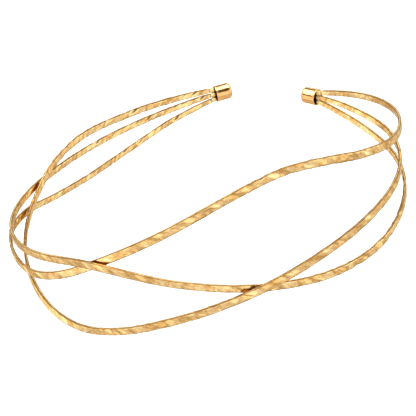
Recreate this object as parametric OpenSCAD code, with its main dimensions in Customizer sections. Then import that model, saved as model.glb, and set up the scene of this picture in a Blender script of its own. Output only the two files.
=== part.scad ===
// Open wire headband: three flat hammered wires that cross over each other round the head and are
// gathered at the back into two small domed end caps. Lengths are in millimetres.
// The front of the band faces -Y, the open back faces +Y, and it lies on the floor at z = 0.

/* [Plan of the band] */
// Mean distance of the wires from the middle of the head
mean_r = 71.5; // [65:0.5:78]
// How much further out the back is than the front, halved
egg = 3.5; // [2:0.5:5]
// How much longer the band is from front to back than across, halved
long = 2.0; // [1:0.5:3]

/* [Wires] */
// Height of the flattened wire where it is widest
wire_w = 2.9; // [2.5:0.1:3]
// Thickness of the flattened wire, in towards the head
wire_t = 1.1; // [0.9:0.05:1.2]
// Width of the worn edge between the flat face and the narrow side
edge = 0.28; // [0.2:0.02:0.3]
// Degrees round the head from one section of a wire to the next
step = 2; // [2:0.5:4]

/* [Hammer marks] */
// Depth of the hammer marks on the outer face
mark = 0.12; // [0:0.02:0.16]
// How much the height of the wire swells and shrinks under the hammer
swell = 0.07; // [0:0.01:0.1]

/* [Wire ends] */
// Diameter of the round end that goes into a cap
end_d = 1.5; // [1.2:0.05:1.5]
// Distance between the ends, one above the other in the cap
end_pitch = 1.9; // [1.7:0.05:1.95]
// How far the round end shows before the cap
end_show = 1.6; // [1:0.2:3]
// How far the round end goes into the cap
end_in = 4.0; // [3:0.5:4]

/* [End caps] */
// Outer diameter of a cap
cap_d = 6.4; // [6.4:0.1:6.8]
// Length of a cap from its mouth to its domed tip
cap_len = 6.7; // [6.5:0.1:8.5]
// Thickness of the cap's wall
cap_wall = 0.35; // [0.3:0.05:0.4]
// Degrees round from the front to the mouth of the left cap
left_a = 163.4; // [162:0.2:165]
// Degrees round from the front to the mouth of the right cap
right_a = 164.2; // [162:0.2:165]
// Degrees that the left cap points back from straight across
left_swing = 36; // [28:1:40]
// Degrees that the right cap points back from straight across
right_swing = 16; // [12:1:22]
// How far the left cap rises towards its tip for each millimetre of length
left_rise = 0; // [0:0.05:0.2]
// How far the right cap rises towards its tip for each millimetre of length
right_rise = 0.1; // [0:0.05:0.2]
// Radius of the rounded shoulder at the tip
cap_round = 1.5; // [1:0.1:1.8]
// Width of the raised lip round the mouth
lip_w = 0.6; // [0.4:0.1:1]
// Height of the raised lip above the wall
lip_h = 0.1; // [0.05:0.05:0.15]

/* [How it lies] */
// Tip forward about the X axis, in degrees
rest_tip = -3.3; // [-4:0.1:-2]
// Lean about the Y axis, in degrees
rest_lean = 0.7; // [0:0.05:1.5]

/* [Show] */
// Part to draw

/* [Hidden] */
$fn = 48;
gold = [0.86, 0.68, 0.38];
cap_gold = [0.88, 0.71, 0.42];

// One row for each place where a wire is set out, from the left cap, by the front at 0, to the right
// cap. [degrees round from the front, distance outside the plan, height above the band's own
// middle, share of the wire's greatest width]
low_rows = [
    [-164, 3, 3.5, 0.68],
    [-150, 0.75, 4, 0.83],
    [-134, -0.25, 4.25, 0.9],
    [-118, -0.5, 4.25, 0.9],
    [-104, -0.5, 1, 0.86],
    [-90, -1, -4, 0.86],
    [-72, -1.75, -8.5, 0.84],
    [-52, -2, -12.5, 0.82],
    [-34, -1.5, -16.5, 0.8],
    [-20, -1, -17.75, 0.83],
    [-6, 0, -15.5, 0.9],
    [12, 1, -10.7, 0.97],
    [34, 1.5, -5.7, 0.98],
    [56, 1.25, -1.8, 0.97],
    [78, 0.5, -0.4, 0.95],
    [102, -0.25, -1, 0.88],
    [126, -0.5, -1, 0.8],
    [146, -0.5, -1.25, 0.76],
    [164, 0, 0.4, 0.66]
];
middle_rows = [
    [-164, 3, 1.75, 0.66],
    [-150, 1, 0, 0.76],
    [-134, 0.5, -1.5, 0.81],
    [-110, 0.75, -2.5, 0.83],
    [-92, 0.75, -1.5, 0.83],
    [-72, 0.25, 1, 0.86],
    [-52, 0.25, 4, 0.87],
    [-34, 0.5, 7, 0.89],
    [-14, 0.75, 10, 0.92],
    [-2, 0.75, 8.25, 0.93],
    [14, 0.25, 2.2, 0.86],
    [36, -0.25, -5.75, 0.87],
    [58, -0.25, -11.5, 0.93],
    [78, 0, -13.4, 0.86],
    [98, 0, -12.25, 0.8],
    [120, -0.25, -10.25, 0.77],
    [140, -0.5, -8.25, 0.76],
    [152, -0.75, -5.25, 0.74],
    [164, -0.75, -1.2, 0.66]
];
upper_rows = [
    [-164, 3, -0.25, 0.66],
    [-150, 0.75, -4.5, 0.74],
    [-134, -0.25, -10, 0.76],
    [-118, -0.25, -12.75, 0.75],
    [-102, -0.25, -11, 0.8],
    [-84, 0.5, -5.75, 0.86],
    [-66, 1.5, -2.5, 0.89],
    [-50, 1.5, -2.5, 0.9],
    [-36, 0.75, -1.75, 0.91],
    [-22, -0.25, 2.75, 0.94],
    [-6, -1, 10.6, 0.98],
    [12, -1.5, 19.1, 0.98],
    [28, -1.5, 26.2, 0.95],
    [40, -1.25, 29.8, 0.95],
    [50, -1.25, 30.4, 0.97],
    [62, -0.75, 27.5, 1],
    [78, 0, 21.2, 1],
    [98, 1, 14.5, 0.95],
    [122, 1.5, 9.8, 0.92],
    [144, 1.25, 5.75, 0.84],
    [164, 0.75, 2, 0.68]
];

function unit(v) = v / norm(v);
function plan_r(a) = mean_r - egg * cos(a) + long * cos(2 * a);
function outward(a) = [sin(a), -cos(a), 0];

// The row that starts the stretch that holds angle a
function stretch(rows, a) =
    min(len(rows) - 2, max([for (i = [0 : len(rows) - 2]) rows[i][0] <= a ? i : 0]));
function slope(rows, i) =
    let (before = rows[max(0, i - 1)], after = rows[min(len(rows) - 1, i + 1)])
    (after - before) / (after[0] - before[0]);
// A smooth curve through the rows, as [degrees, outside the plan, height, share of the width]
function follow(rows, a) =
    let (i = stretch(rows, a), p = rows[i], q = rows[i + 1], span = q[0] - p[0], s = (a - p[0]) / span)
    (2 * pow(s, 3) - 3 * pow(s, 2) + 1) * p
    + (pow(s, 3) - 2 * pow(s, 2) + s) * span * slope(rows, i)
    + (3 * pow(s, 2) - 2 * pow(s, 3)) * q
    + (pow(s, 3) - pow(s, 2)) * span * slope(rows, i + 1);
function middle_of(rows, a) =
    let (at = follow(rows, a))
    (plan_r(a) + at[1]) * outward(a) + [0, 0, at[2]];

// Where each cap's mouth is and which way the cap points
left_mouth = middle_of(middle_rows, -left_a);
right_mouth = middle_of(low_rows, right_a);
left_way = unit([cos(left_swing), sin(left_swing), left_rise]);
right_way = unit([-cos(right_swing), sin(right_swing), right_rise]);

// The ends stand one above the other across the cap. layer is 1 for the top end, 0 or -1.
function across(way) = unit([0, 0, 1] - way * way[2]);
function end_at(mouth, way, layer, run) = mouth + way * run + across(way) * end_pitch * layer;

// Sections of one wire: [middle, along, out, half height, half thickness, edge, mark]
function hammer(i, seed) = sin(i * 151 + seed * 67) * cos(i * 43 + seed * 29);
function section_at(centre, along, out, full, share, i, seed) =
    let (
        half_w = (wire_w * share + swell * hammer(i, seed)) / 2,
        half_t = wire_t / 2,
        small = end_d / 2,
        cut = edge + (small * 0.586 - edge) * (1 - full)
    )
    [
        centre,
        along,
        unit(out - along * (out * along)),
        small + (half_w - small) * full,
        small + (half_t - small) * full,
        cut,
        full * mark * abs(hammer(i + 7, seed))
    ];

// How much of the full flat section a wire has at a distance d from the cap's mouth
function fullness(d) = let (s = min(1, max(0, (d - end_show) / 2))) s * s * (3 - 2 * s);

// How far angle a is along the band from each cap's mouth
function from_left(a) = (a + left_a) * mean_r * PI / 180;
function from_right(a) = (right_a - a) * mean_r * PI / 180;
function ease(d) = let (s = min(1, max(0, 1 - d / 12))) s * s * (3 - 2 * s);
// The wire's middle, drawn in near each cap so that it meets its own place in the mouth
function wire_point(rows, a, left_layer, right_layer) =
    let (
        free = middle_of(rows, a),
        to_left = end_at(left_mouth, left_way, left_layer, 0) - middle_of(rows, -left_a),
        to_right = end_at(right_mouth, right_way, right_layer, 0) - middle_of(rows, right_a)
    )
    free + to_left * ease(from_left(a)) + to_right * ease(from_right(a));

function wire_sections(rows, left_layer, right_layer, seed) =
    let (
        first = ceil(-left_a / step + 0.4) * step,
        angles = [for (a = [first : step : right_a - 0.4 * step]) a],
        left_end = [
            for (run = [end_in, end_in / 2, 0])
                section_at(end_at(left_mouth, left_way, left_layer, run), -left_way,
                    outward(-left_a), 0, 0, 0, seed)
        ],
        right_end = [
            for (run = [0, end_in / 2, end_in])
                section_at(end_at(right_mouth, right_way, right_layer, run), right_way,
                    outward(right_a), 0, 0, 0, seed)
        ]
    )
    concat(
        left_end,
        [
            for (i = [0 : len(angles) - 1])
                let (
                    a = angles[i],
                    near = min(from_left(a), from_right(a)),
                    before = wire_point(rows, a - 0.5, left_layer, right_layer),
                    after = wire_point(rows, a + 0.5, left_layer, right_layer)
                )
                section_at(wire_point(rows, a, left_layer, right_layer), unit(after - before),
                    outward(a), fullness(near), follow(rows, a)[3], i, seed)
        ],
        right_end
    );

// Eight corners round one section, the outer face first and lowered by its hammer mark
function corners(s) =
    let (
        up = cross(s[1], s[2]),
        h = s[3],
        t = s[4],
        c = s[5],
        outer = t - s[6],
        pairs = [
            [outer, h - c],
            [outer - c, h],
            [c - t, h],
            [-t, h - c],
            [-t, c - h],
            [c - t, -h],
            [outer - c, -h],
            [outer, c - h]
        ]
    )
    [for (p = pairs) s[0] + s[2] * p[0] + up * p[1]];

// Turns a point from the band's own level to the way it lies, then sets it over the origin
function turn(p) =
    let (
        y = p[1] * cos(rest_tip) - p[2] * sin(rest_tip),
        z = p[1] * sin(rest_tip) + p[2] * cos(rest_tip)
    )
    [p[0] * cos(rest_lean) + z * sin(rest_lean), y, z * cos(rest_lean) - p[0] * sin(rest_lean)];

function wire_corners(sections) = [for (s = sections) for (p = corners(s)) turn(p)];
low_points = wire_corners(wire_sections(low_rows, 1, 0, 1));
middle_points = wire_corners(wire_sections(middle_rows, 0, -1, 2));
upper_points = wire_corners(wire_sections(upper_rows, -1, 1, 3));

// The furthest a cap reaches along one axis, dir being 1 or -1
function cap_reach(mouth, way, axis, dir) =
    let (
        m = turn(mouth),
        w = turn(way),
        wide = sqrt(1 - w[axis] * w[axis]),
        lip = m[axis] * dir + (cap_d / 2 + lip_h) * wide,
        shoulder = m[axis] * dir + (cap_len - cap_round) * w[axis] * dir
            + (cap_d / 2 - cap_round) * wide + cap_round
    )
    max(lip, shoulder);
function reach(axis, dir) =
    max(concat(
        [for (set = [low_points, middle_points, upper_points]) max([for (p = set) p[axis] * dir])],
        [cap_reach(left_mouth, left_way, axis, dir), cap_reach(right_mouth, right_way, axis, dir)]
    ));
shift = [
    (reach(0, -1) - reach(0, 1)) / 2,
    (reach(1, -1) - reach(1, 1)) / 2,
    reach(2, -1)
];

// A closed skin over the sections of one wire
module wire_skin(points) {
    last = len(points) / 8 - 1;
    sides = [
        for (i = [0 : last - 1]) for (j = [0 : 7])
            let (a = i * 8 + j, b = i * 8 + (j + 1) % 8)
            each [[a, a + 8, b], [b, a + 8, b + 8]]
    ];
    near_end = [[for (j = [0 : 7]) j]];
    far_end = [[for (j = [7 : -1 : 0]) last * 8 + j]];
    translate(shift)
        polyhedron(points = points, faces = concat(near_end, sides, far_end), convexity = 12);
}

module low_front_wire() {
    color(gold) wire_skin(low_points);
}

module middle_front_wire() {
    color(gold) wire_skin(middle_points);
}

module upper_front_wire() {
    color(gold) wire_skin(upper_points);
}

// A cap drawn with its mouth on the floor and its tip up
module cap_body() {
    r = cap_d / 2;
    bore = r - cap_wall;
    rotate_extrude()
        difference() {
            union() {
                square([r, cap_len - cap_round]);
                square([r + lip_h, lip_w]);
                square([r - cap_round, cap_len]);
                translate([r - cap_round, cap_len - cap_round])
                    intersection() {
                        circle(r = cap_round);
                        square(cap_round + 1);
                    }
            }
            translate([-1, -1])
                square([bore + 1, cap_len - cap_wall - cap_round * 0.3 + 1]);
        }
}

module set_cap(mouth, way) {
    at = turn(mouth) + shift;
    w = turn(way);
    translate(at)
        rotate([0, acos(w[2]), atan2(w[1], w[0])])
            cap_body();
}

module left_end_cap() {
    color(cap_gold) set_cap(left_mouth, left_way);
}

module right_end_cap() {
    color(cap_gold) set_cap(right_mouth, right_way);
}

low_front_wire();
middle_front_wire();
upper_front_wire();
left_end_cap();
right_end_cap();
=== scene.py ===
"""Open wire headband: three hammered gold wires that cross round the head and meet in two end caps.

The band's own frame has the front at -Y and the open back at +Y. Sizes are in millimetres in this
file and become metres where a mesh is made. The wires' tables repeat those of the part's source, and
the place of the band over the origin is worked out from the frame.
"""
import logging
from dataclasses import dataclass, field, replace
from enum import Enum
from math import acos, atan2, ceil, cos, e, pi, radians, sin, sqrt

import bpy
from mathutils import Matrix, Vector
from mathutils.kdtree import KDTree


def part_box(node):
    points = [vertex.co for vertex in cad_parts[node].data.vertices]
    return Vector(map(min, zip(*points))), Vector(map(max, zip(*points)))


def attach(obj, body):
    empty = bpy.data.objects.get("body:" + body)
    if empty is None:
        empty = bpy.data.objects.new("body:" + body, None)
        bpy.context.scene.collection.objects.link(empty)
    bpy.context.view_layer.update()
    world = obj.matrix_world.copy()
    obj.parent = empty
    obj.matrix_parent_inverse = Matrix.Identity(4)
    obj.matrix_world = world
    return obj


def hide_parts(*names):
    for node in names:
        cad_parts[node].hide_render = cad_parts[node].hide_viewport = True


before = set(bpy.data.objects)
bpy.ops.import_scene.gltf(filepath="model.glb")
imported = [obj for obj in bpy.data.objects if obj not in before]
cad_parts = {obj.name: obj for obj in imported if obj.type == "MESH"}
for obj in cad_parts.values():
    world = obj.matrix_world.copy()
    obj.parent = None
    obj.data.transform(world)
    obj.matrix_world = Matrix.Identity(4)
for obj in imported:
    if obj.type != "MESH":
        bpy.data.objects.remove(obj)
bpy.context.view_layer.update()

log = logging.getLogger("headband")
MM = 0.001
PHOTO_SIDE = 416


class Slot(Enum):
    """The record's material slots."""

    WIRE = "hammered_gold"
    CAP = "polished_gold"


class Layer(Enum):
    """Where a wire's end stands in the mouth of a cap, one above the other."""

    TOP = 1
    MIDDLE = 0
    BOTTOM = -1


class Face(Enum):
    """The two flat faces of a wire, and the seed of the blows on each."""

    OUTER = 11
    INNER = 47


# Node trees


@dataclass
class Value:
    """A number on a socket. Sums, products and comparisons on it add Math nodes to its sheet."""

    sheet: "NodeSheet"
    socket: bpy.types.NodeSocket

    def __add__(self, other: "Value | float") -> "Value":
        """Sum."""
        return self.sheet.maths("ADD", self, other)

    __radd__ = __add__

    def __sub__(self, other: "Value | float") -> "Value":
        """Difference."""
        return self.sheet.maths("SUBTRACT", self, other)

    def __rsub__(self, other: float) -> "Value":
        """Difference, the number first."""
        return self.sheet.maths("SUBTRACT", other, self)

    def __mul__(self, other: "Value | float") -> "Value":
        """Product."""
        return self.sheet.maths("MULTIPLY", self, other)

    __rmul__ = __mul__

    def __truediv__(self, other: "Value | float") -> "Value":
        """Quotient."""
        return self.sheet.maths("DIVIDE", self, other)

    def __rtruediv__(self, other: float) -> "Value":
        """Quotient, the number first."""
        return self.sheet.maths("DIVIDE", other, self)

    def __neg__(self) -> "Value":
        """The number with its sign turned."""
        return self.sheet.maths("MULTIPLY", self, -1.0)

    def __lt__(self, other: "Value | float") -> "Value":
        """1 where it is less, and 0 elsewhere."""
        return self.sheet.maths("LESS_THAN", self, other)

    def __gt__(self, other: "Value | float") -> "Value":
        """1 where it is more, and 0 elsewhere."""
        return self.sheet.maths("GREATER_THAN", self, other)

    def least(self, other: "Value | float") -> "Value":
        """The smaller of the two."""
        return self.sheet.maths("MINIMUM", self, other)

    def most(self, other: "Value | float") -> "Value":
        """The larger of the two."""
        return self.sheet.maths("MAXIMUM", self, other)

    def within(self, low: "Value | float", high: "Value | float") -> "Value":
        """The number held between two others."""
        return self.most(low).least(high)

    def size(self) -> "Value":
        """The number without its sign."""
        return self.sheet.maths("ABSOLUTE", self)

    def step(self, start: float, end: float) -> "Value":
        """A smooth step.

        Args:
            start: Where the step is 0.
            end: Where the step is 1, which may lie below start.

        Returns:
            A number from 0 to 1.
        """
        s = ((self - start) / (end - start)).within(0.0, 1.0)
        return s * s * (3.0 - 2.0 * s)


@dataclass
class NodeSheet:
    """One node tree, and the few ways in which this script adds to it."""

    tree: bpy.types.NodeTree

    def node(self, kind: str, settings: dict | None = None, feeds: dict | None = None) -> bpy.types.Node:
        """Add a node.

        Args:
            kind: Blender's name for the type of node.
            settings: Its own settings, set first.
            feeds: What goes into its sockets, by name: a value, a Value or another node's socket.

        Returns:
            The new node.
        """
        made = self.tree.nodes.new(kind)
        for name, setting in (settings or {}).items():
            setattr(made, name, setting)
        for name, feed in (feeds or {}).items():
            self.feed(next(s for s in made.inputs if s.enabled and s.name == name), feed)
        return made

    def feed(self, socket: bpy.types.NodeSocket, feed: object) -> None:
        """Set a socket, or link something to it.

        Args:
            socket: The socket of the node that takes it.
            feed: A value, a Value or another node's socket.
        """
        if isinstance(feed, Value):
            self.tree.links.new(feed.socket, socket)
        elif isinstance(feed, bpy.types.NodeSocket):
            self.tree.links.new(feed, socket)
        else:
            socket.default_value = feed

    def maths(self, operation: str, *numbers: "Value | float") -> Value:
        """Add a Math node.

        Args:
            operation: What it does.
            numbers: One to three numbers, each a Value or a plain number.

        Returns:
            Its result.
        """
        made = self.node("ShaderNodeMath", {"operation": operation})
        for socket, number in zip(made.inputs, numbers):
            self.feed(socket, number)
        return Value(self, made.outputs[0])

    def vector(
        self, operation: str, *parts: object, scale: "Value | float | None" = None
    ) -> bpy.types.NodeSocket:
        """Add a Vector Math node.

        Args:
            operation: What it does.
            parts: Its vectors, each a socket or three numbers.
            scale: The factor of the operation SCALE.

        Returns:
            The socket with its vector.
        """
        made = self.node("ShaderNodeVectorMath", {"operation": operation})
        for socket, part in zip(made.inputs, parts):
            self.feed(socket, part)
        if scale is not None:
            self.feed(made.inputs["Scale"], scale)
        return made.outputs["Vector"]

    def xyz(self, socket: bpy.types.NodeSocket) -> tuple[Value, Value, Value]:
        """The three numbers of a vector."""
        made = self.node("ShaderNodeSeparateXYZ", feeds={"Vector": socket})
        return tuple(Value(self, out) for out in made.outputs)

    def blend(
        self, amount: "Value | float", first: object, second: object, kind: str = "RGBA"
    ) -> bpy.types.NodeSocket:
        """Mix two colours, vectors or numbers.

        Args:
            amount: 0 gives the first and 1 the second.
            first: A socket or a value.
            second: A socket or a value.
            kind: Blender's name for what is mixed.

        Returns:
            The socket with the mixture.
        """
        made = self.node("ShaderNodeMix", {"data_type": kind}, {"Factor": amount, "A": first, "B": second})
        return next(s for s in made.outputs if s.enabled)

    def between(self, amount: "Value | float", first: object, second: object) -> Value:
        """Mix two numbers, 0 giving the first and 1 the second."""
        return Value(self, self.blend(amount, first, second, "FLOAT"))

    def noise(
        self, place: bpy.types.NodeSocket, scale: float, detail: float = 2.0, rough: float = 0.5
    ) -> Value:
        """Soft noise at a place, from about 0.3 to 0.7 with 0.5 as its middle."""
        feeds = {"Vector": place, "Scale": scale, "Detail": detail, "Roughness": rough}
        return Value(self, self.node("ShaderNodeTexNoise", feeds=feeds).outputs[0])

    def attribute(self, name: str) -> bpy.types.Node:
        """A shader node that reads one of the mesh's attributes."""
        return self.node("ShaderNodeAttribute", {"attribute_name": name})


def gold(colour: str) -> tuple[float, float, float, float]:
    """A shader colour.

    Args:
        colour: Six hexadecimal digits, as seen on a screen.

    Returns:
        The colour as light, with its alpha.
    """
    seen = [int(colour[n : n + 2], 16) / 255 for n in (0, 2, 4)]
    light = [c / 12.92 if c < 0.04045 else ((c + 0.055) / 1.055) ** 2.4 for c in seen]
    return (*light, 1.0)


# Finishes


@dataclass(frozen=True)
class HammeredGold:
    """Plated wire, hammered flat: bright blows, a painted shade line along the edges, fine scratches.

    light, middle and dark are the faces of the blows, and edge is the brown of the painted shade along
    edges and at the foot of ridges. deep is the painted shade where a wire stands close to its
    neighbours, at its necks and inside a cap. graze tints what is seen at a slant. thrown is how brightly
    the ends glow, a painted light for what the caps throw back on them.
    """

    name: str = "hammered gold"
    light: str = "fbda9d"
    middle: str = "ecc182"
    dark: str = "ca9c5b"
    edge: str = "75501f"
    graze: str = "faebd0"
    deep: str = "241708"
    roughness: float = 0.19
    thrown: float = 0.5

    def make(self) -> bpy.types.Material:
        """Build the material, which reads the attributes that the hammering leaves on a wire.

        Returns:
            The material.
        """
        material = bpy.data.materials.new(self.name)
        material.use_nodes = True
        material.node_tree.nodes.clear()
        sheet = NodeSheet(material.node_tree)
        place = sheet.attribute("place").outputs["Vector"]
        blow, crease, across, side, tight, matt = (
            Value(sheet, sheet.attribute(name).outputs["Fac"])
            for name in ("blow", "crease", "across", "face", "tight", "matt")
        )
        # Scratches run along the wire, so their pattern is drawn out that way
        drawn = sheet.vector("MULTIPLY", place, (0.12, 1.0, 1.0))
        scratch = sheet.noise(drawn, 9000.0, 3.0, 0.6)
        cloud = sheet.noise(place, 420.0, 3.0, 0.55)
        grain = sheet.noise(place, 5200.0, 2.0, 0.6)
        # The hammer's own face leaves short strokes aslant in each blow, drawn out along the outer face
        run, rise, depth = sheet.xyz(place)
        long = (side > 0.0) * 0.4
        aslant = sheet.node(
            "ShaderNodeCombineXYZ",
            feeds={"X": run * (1.0 - long) + 0.7 * rise, "Y": (0.3 + long) * rise, "Z": depth},
        )
        stroke = sheet.noise(aslant.outputs[0], 900.0, 2.0, 0.6)

        facet = (
            blow * 0.65 + (cloud - 0.5) * 0.4 + (stroke - 0.5) * 2.2 + (scratch - 0.5) * 0.9 + 0.12
        ).within(0.0, 1.0)
        face = sheet.blend(facet.step(0.0, 0.5), gold(self.dark), gold(self.middle))
        face = sheet.blend(facet.step(0.45, 0.95), face, gold(self.light))
        # Painted shade: brown along the foot of a ridge between two blows
        crease_shade = crease.step(0.12, 0.4) * (0.8 + 1.8 * (cloud - 0.5)).within(0.0, 0.95)
        face = sheet.blend(crease_shade, face, gold(self.edge))
        # Painted shade: a thin brown line along both edges of each face, a little darker along one edge
        line = (across.size() + 0.2 * (cloud - 0.5)).step(0.76, 0.88) * side.size().step(0.2, 0.5)
        face = sheet.blend(line * (0.86 + 0.1 * (across * side < 0.0)), face, gold(self.edge))
        # Painted shade: deep brown where a wire stands close to its neighbours, at its necks and inside a cap
        colour = sheet.blend(tight, face, gold(self.deep))
        # Painted light: the ends glow with the face's colour, for the light that the polished caps throw back
        # on them
        thrown = sheet.blend(matt * (1.0 - tight) * self.thrown, gold("000000"), face)
        rough = (self.roughness + 0.16 * (cloud - 0.5) + 0.22 * (scratch - 0.5) + 0.1 * line
                 - 0.08 * (blow - 0.5) + 0.15 * matt).within(0.12, 0.6)
        relief = 0.6 * scratch + 0.4 * grain + 2.2 * stroke
        bump = sheet.node("ShaderNodeBump", feeds={"Strength": 0.3, "Distance": 0.00003, "Height": relief})
        shader = sheet.node(
            "ShaderNodeBsdfPrincipled",
            feeds={
                "Base Color": colour, "Metallic": 1.0 - 0.3 * matt, "Roughness": rough,
                "Normal": bump.outputs["Normal"], "Specular Tint": gold(self.graze),
                "Emission Color": thrown, "Emission Strength": 1.0,
            },
        )
        out = sheet.node("ShaderNodeOutputMaterial", feeds={"Surface": shader.outputs["BSDF"]})
        out.is_active_output = True
        return material


@dataclass(frozen=True)
class PolishedGold:
    """Turned and polished cap: satin lines round it, rims with a painted highlight, and a bore in painted
    shade.

    light and middle are the outside, bore is the painted shade inside, and graze tints what is seen at a
    slant.
    """

    name: str = "polished gold"
    light: str = "f0be82"
    middle: str = "e2ab6a"
    graze: str = "fcf1e1"
    bore: str = "2a1808"
    roughness: float = 0.13

    def make(self) -> bpy.types.Material:
        """Build the material, which reads the attributes that the turning leaves on a cap.

        Returns:
            The material.
        """
        material = bpy.data.materials.new(self.name)
        material.use_nodes = True
        material.node_tree.nodes.clear()
        sheet = NodeSheet(material.node_tree)
        place = sheet.attribute("place").outputs["Vector"]
        inside = Value(sheet, sheet.attribute("inside").outputs["Fac"])
        rim = Value(sheet, sheet.attribute("rim").outputs["Fac"])
        # Turned lines run round the cap, so their pattern is long that way and short along the axis
        turned = sheet.noise(sheet.vector("MULTIPLY", place, (1.0, 0.06, 0.06)), 7000.0, 3.0, 0.6)
        cloud = sheet.noise(place, 500.0, 3.0, 0.5)
        grain = sheet.noise(place, 6000.0, 2.0, 0.6)

        face = sheet.blend(cloud.step(0.35, 0.65), gold(self.middle), gold(self.light))
        # Painted highlight: the rims are lighter, and a little smoother
        face = sheet.blend(rim * 0.6, face, gold(self.light))
        # Painted shade: the bore goes dark brown, darkest deep inside
        colour = sheet.blend(inside, face, gold(self.bore))
        rough = (self.roughness + 0.12 * (turned - 0.5) + 0.1 * (cloud - 0.5) + 0.35 * inside
                 - 0.04 * rim).within(0.06, 0.6)
        relief = 0.7 * turned + 0.3 * grain
        bump = sheet.node("ShaderNodeBump", feeds={"Strength": 0.12, "Distance": 0.00002, "Height": relief})
        shader = sheet.node(
            "ShaderNodeBsdfPrincipled",
            feeds={
                "Base Color": colour, "Metallic": 1.0, "Roughness": rough, "Normal": bump.outputs["Normal"],
                "Specular Tint": gold(self.graze),
            },
        )
        out = sheet.node("ShaderNodeOutputMaterial", feeds={"Surface": shader.outputs["BSDF"]})
        out.is_active_output = True
        return material


@dataclass(frozen=True)
class PaleFloor:
    """White light table, with the faintest mottling, that leaves next to no shadow."""

    name: str = "pale board"
    light: str = "a8a8a7"
    shade: str = "a5a5a4"
    glow: float = 0.85

    def make(self) -> bpy.types.Material:
        """Build the board's material.

        Returns:
            The material.
        """
        material = bpy.data.materials.new(self.name)
        material.use_nodes = True
        material.node_tree.nodes.clear()
        sheet = NodeSheet(material.node_tree)
        place = sheet.node("ShaderNodeTexCoord").outputs["Object"]
        mottle = sheet.noise(place, 6.0, 2.0, 0.5)
        colour = sheet.blend(mottle, gold(self.light), gold(self.shade))
        shader = sheet.node(
            "ShaderNodeBsdfPrincipled",
            feeds={
                "Base Color": colour, "Roughness": 0.8, "Specular IOR Level": 0.1,
                "Emission Color": gold("ffffff"), "Emission Strength": self.glow,
            },
        )
        out = sheet.node("ShaderNodeOutputMaterial", feeds={"Surface": shader.outputs["BSDF"]})
        out.is_active_output = True
        return material


# The band's plan and the places along a wire


@dataclass(frozen=True)
class Row:
    """One place where a wire is set out, as in the part's own tables.

    degrees round from the front, out from the plan and up from its level in millimetres, and the
    share of the wire's greatest width.
    """

    degrees: float
    out: float
    up: float
    share: float


def rows(*places: tuple[float, float, float, float]) -> tuple[Row, ...]:
    """Rows from (degrees round from the front, distance outside the plan, height, share of width)."""
    return tuple(Row(*place) for place in places)


@dataclass(frozen=True)
class Strike:
    """How a stretch of wire was hammered.

    degrees round from the front, pitch in millimetres between blows, force of the blows, and roll as
    the degrees by which the outer face is tipped to look up.
    """

    degrees: float
    pitch: float
    force: float
    roll: float


def strikes(*stretches: tuple[float, float, float, float]) -> tuple[Strike, ...]:
    """Strikes from (degrees round, distance between blows, force, degrees of roll) quadruples."""
    return tuple(Strike(*stretch) for stretch in stretches)


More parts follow.
